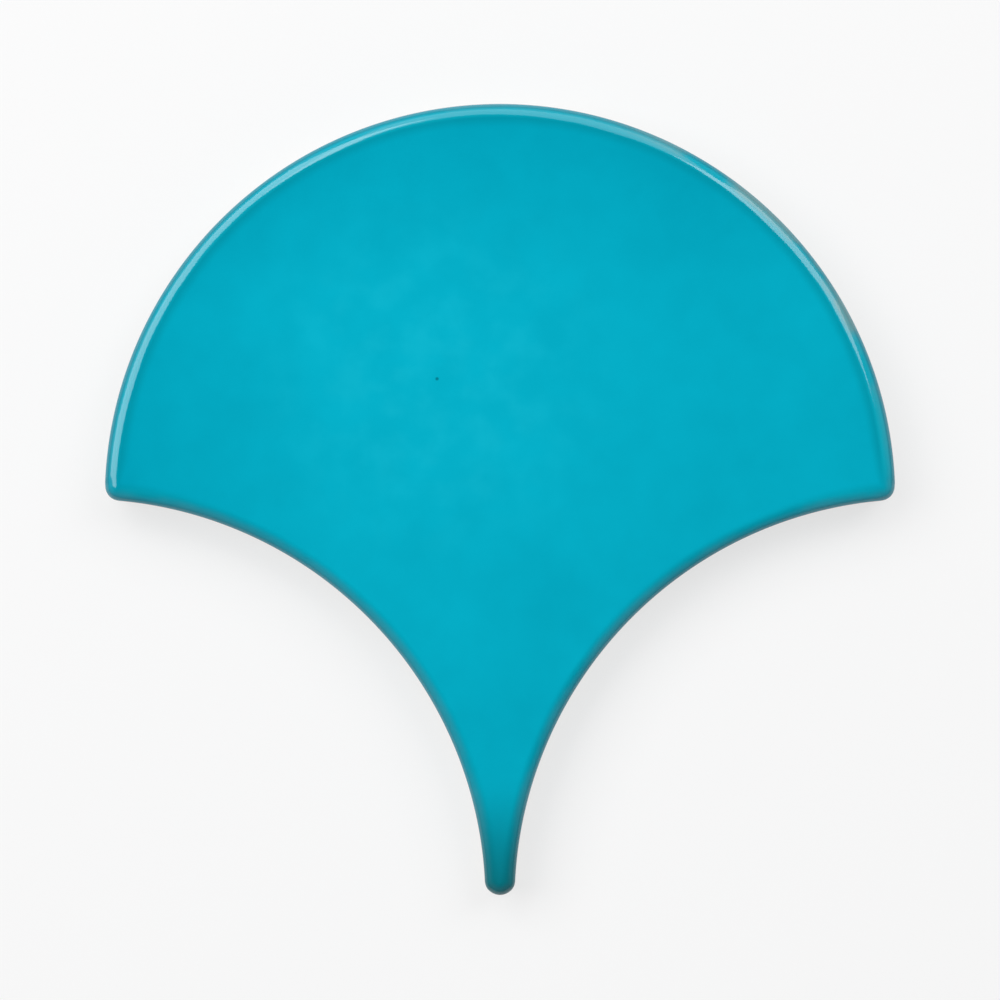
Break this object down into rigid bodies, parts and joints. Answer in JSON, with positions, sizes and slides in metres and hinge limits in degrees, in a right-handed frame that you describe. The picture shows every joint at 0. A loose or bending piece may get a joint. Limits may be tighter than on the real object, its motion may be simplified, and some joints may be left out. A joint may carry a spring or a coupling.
{
  "type": "fish scale tile",
  "caption": "Flat glazed ceramic wall tile shaped like a fish scale: half-round crown, hollow flanks and a narrow blunt tip, so that like tiles nest in staggered rows.",
  "frame": {"origin": "compass centre of the round crown, on the flat back of the tile, which is where it lies on a floor", "axes": "+Z out of the glazed face, +Y from the tip towards the crown, +X across the tile from flank to flank"},
  "size_m": [0.12, 0.1202, 0.01],
  "materials": {
    "turquoise_glaze": "high gloss, fired"
  },
  "bodies": {
    "root": {"fish_scale_tile": "turquoise_glaze"}
  },
  "joints": []
}
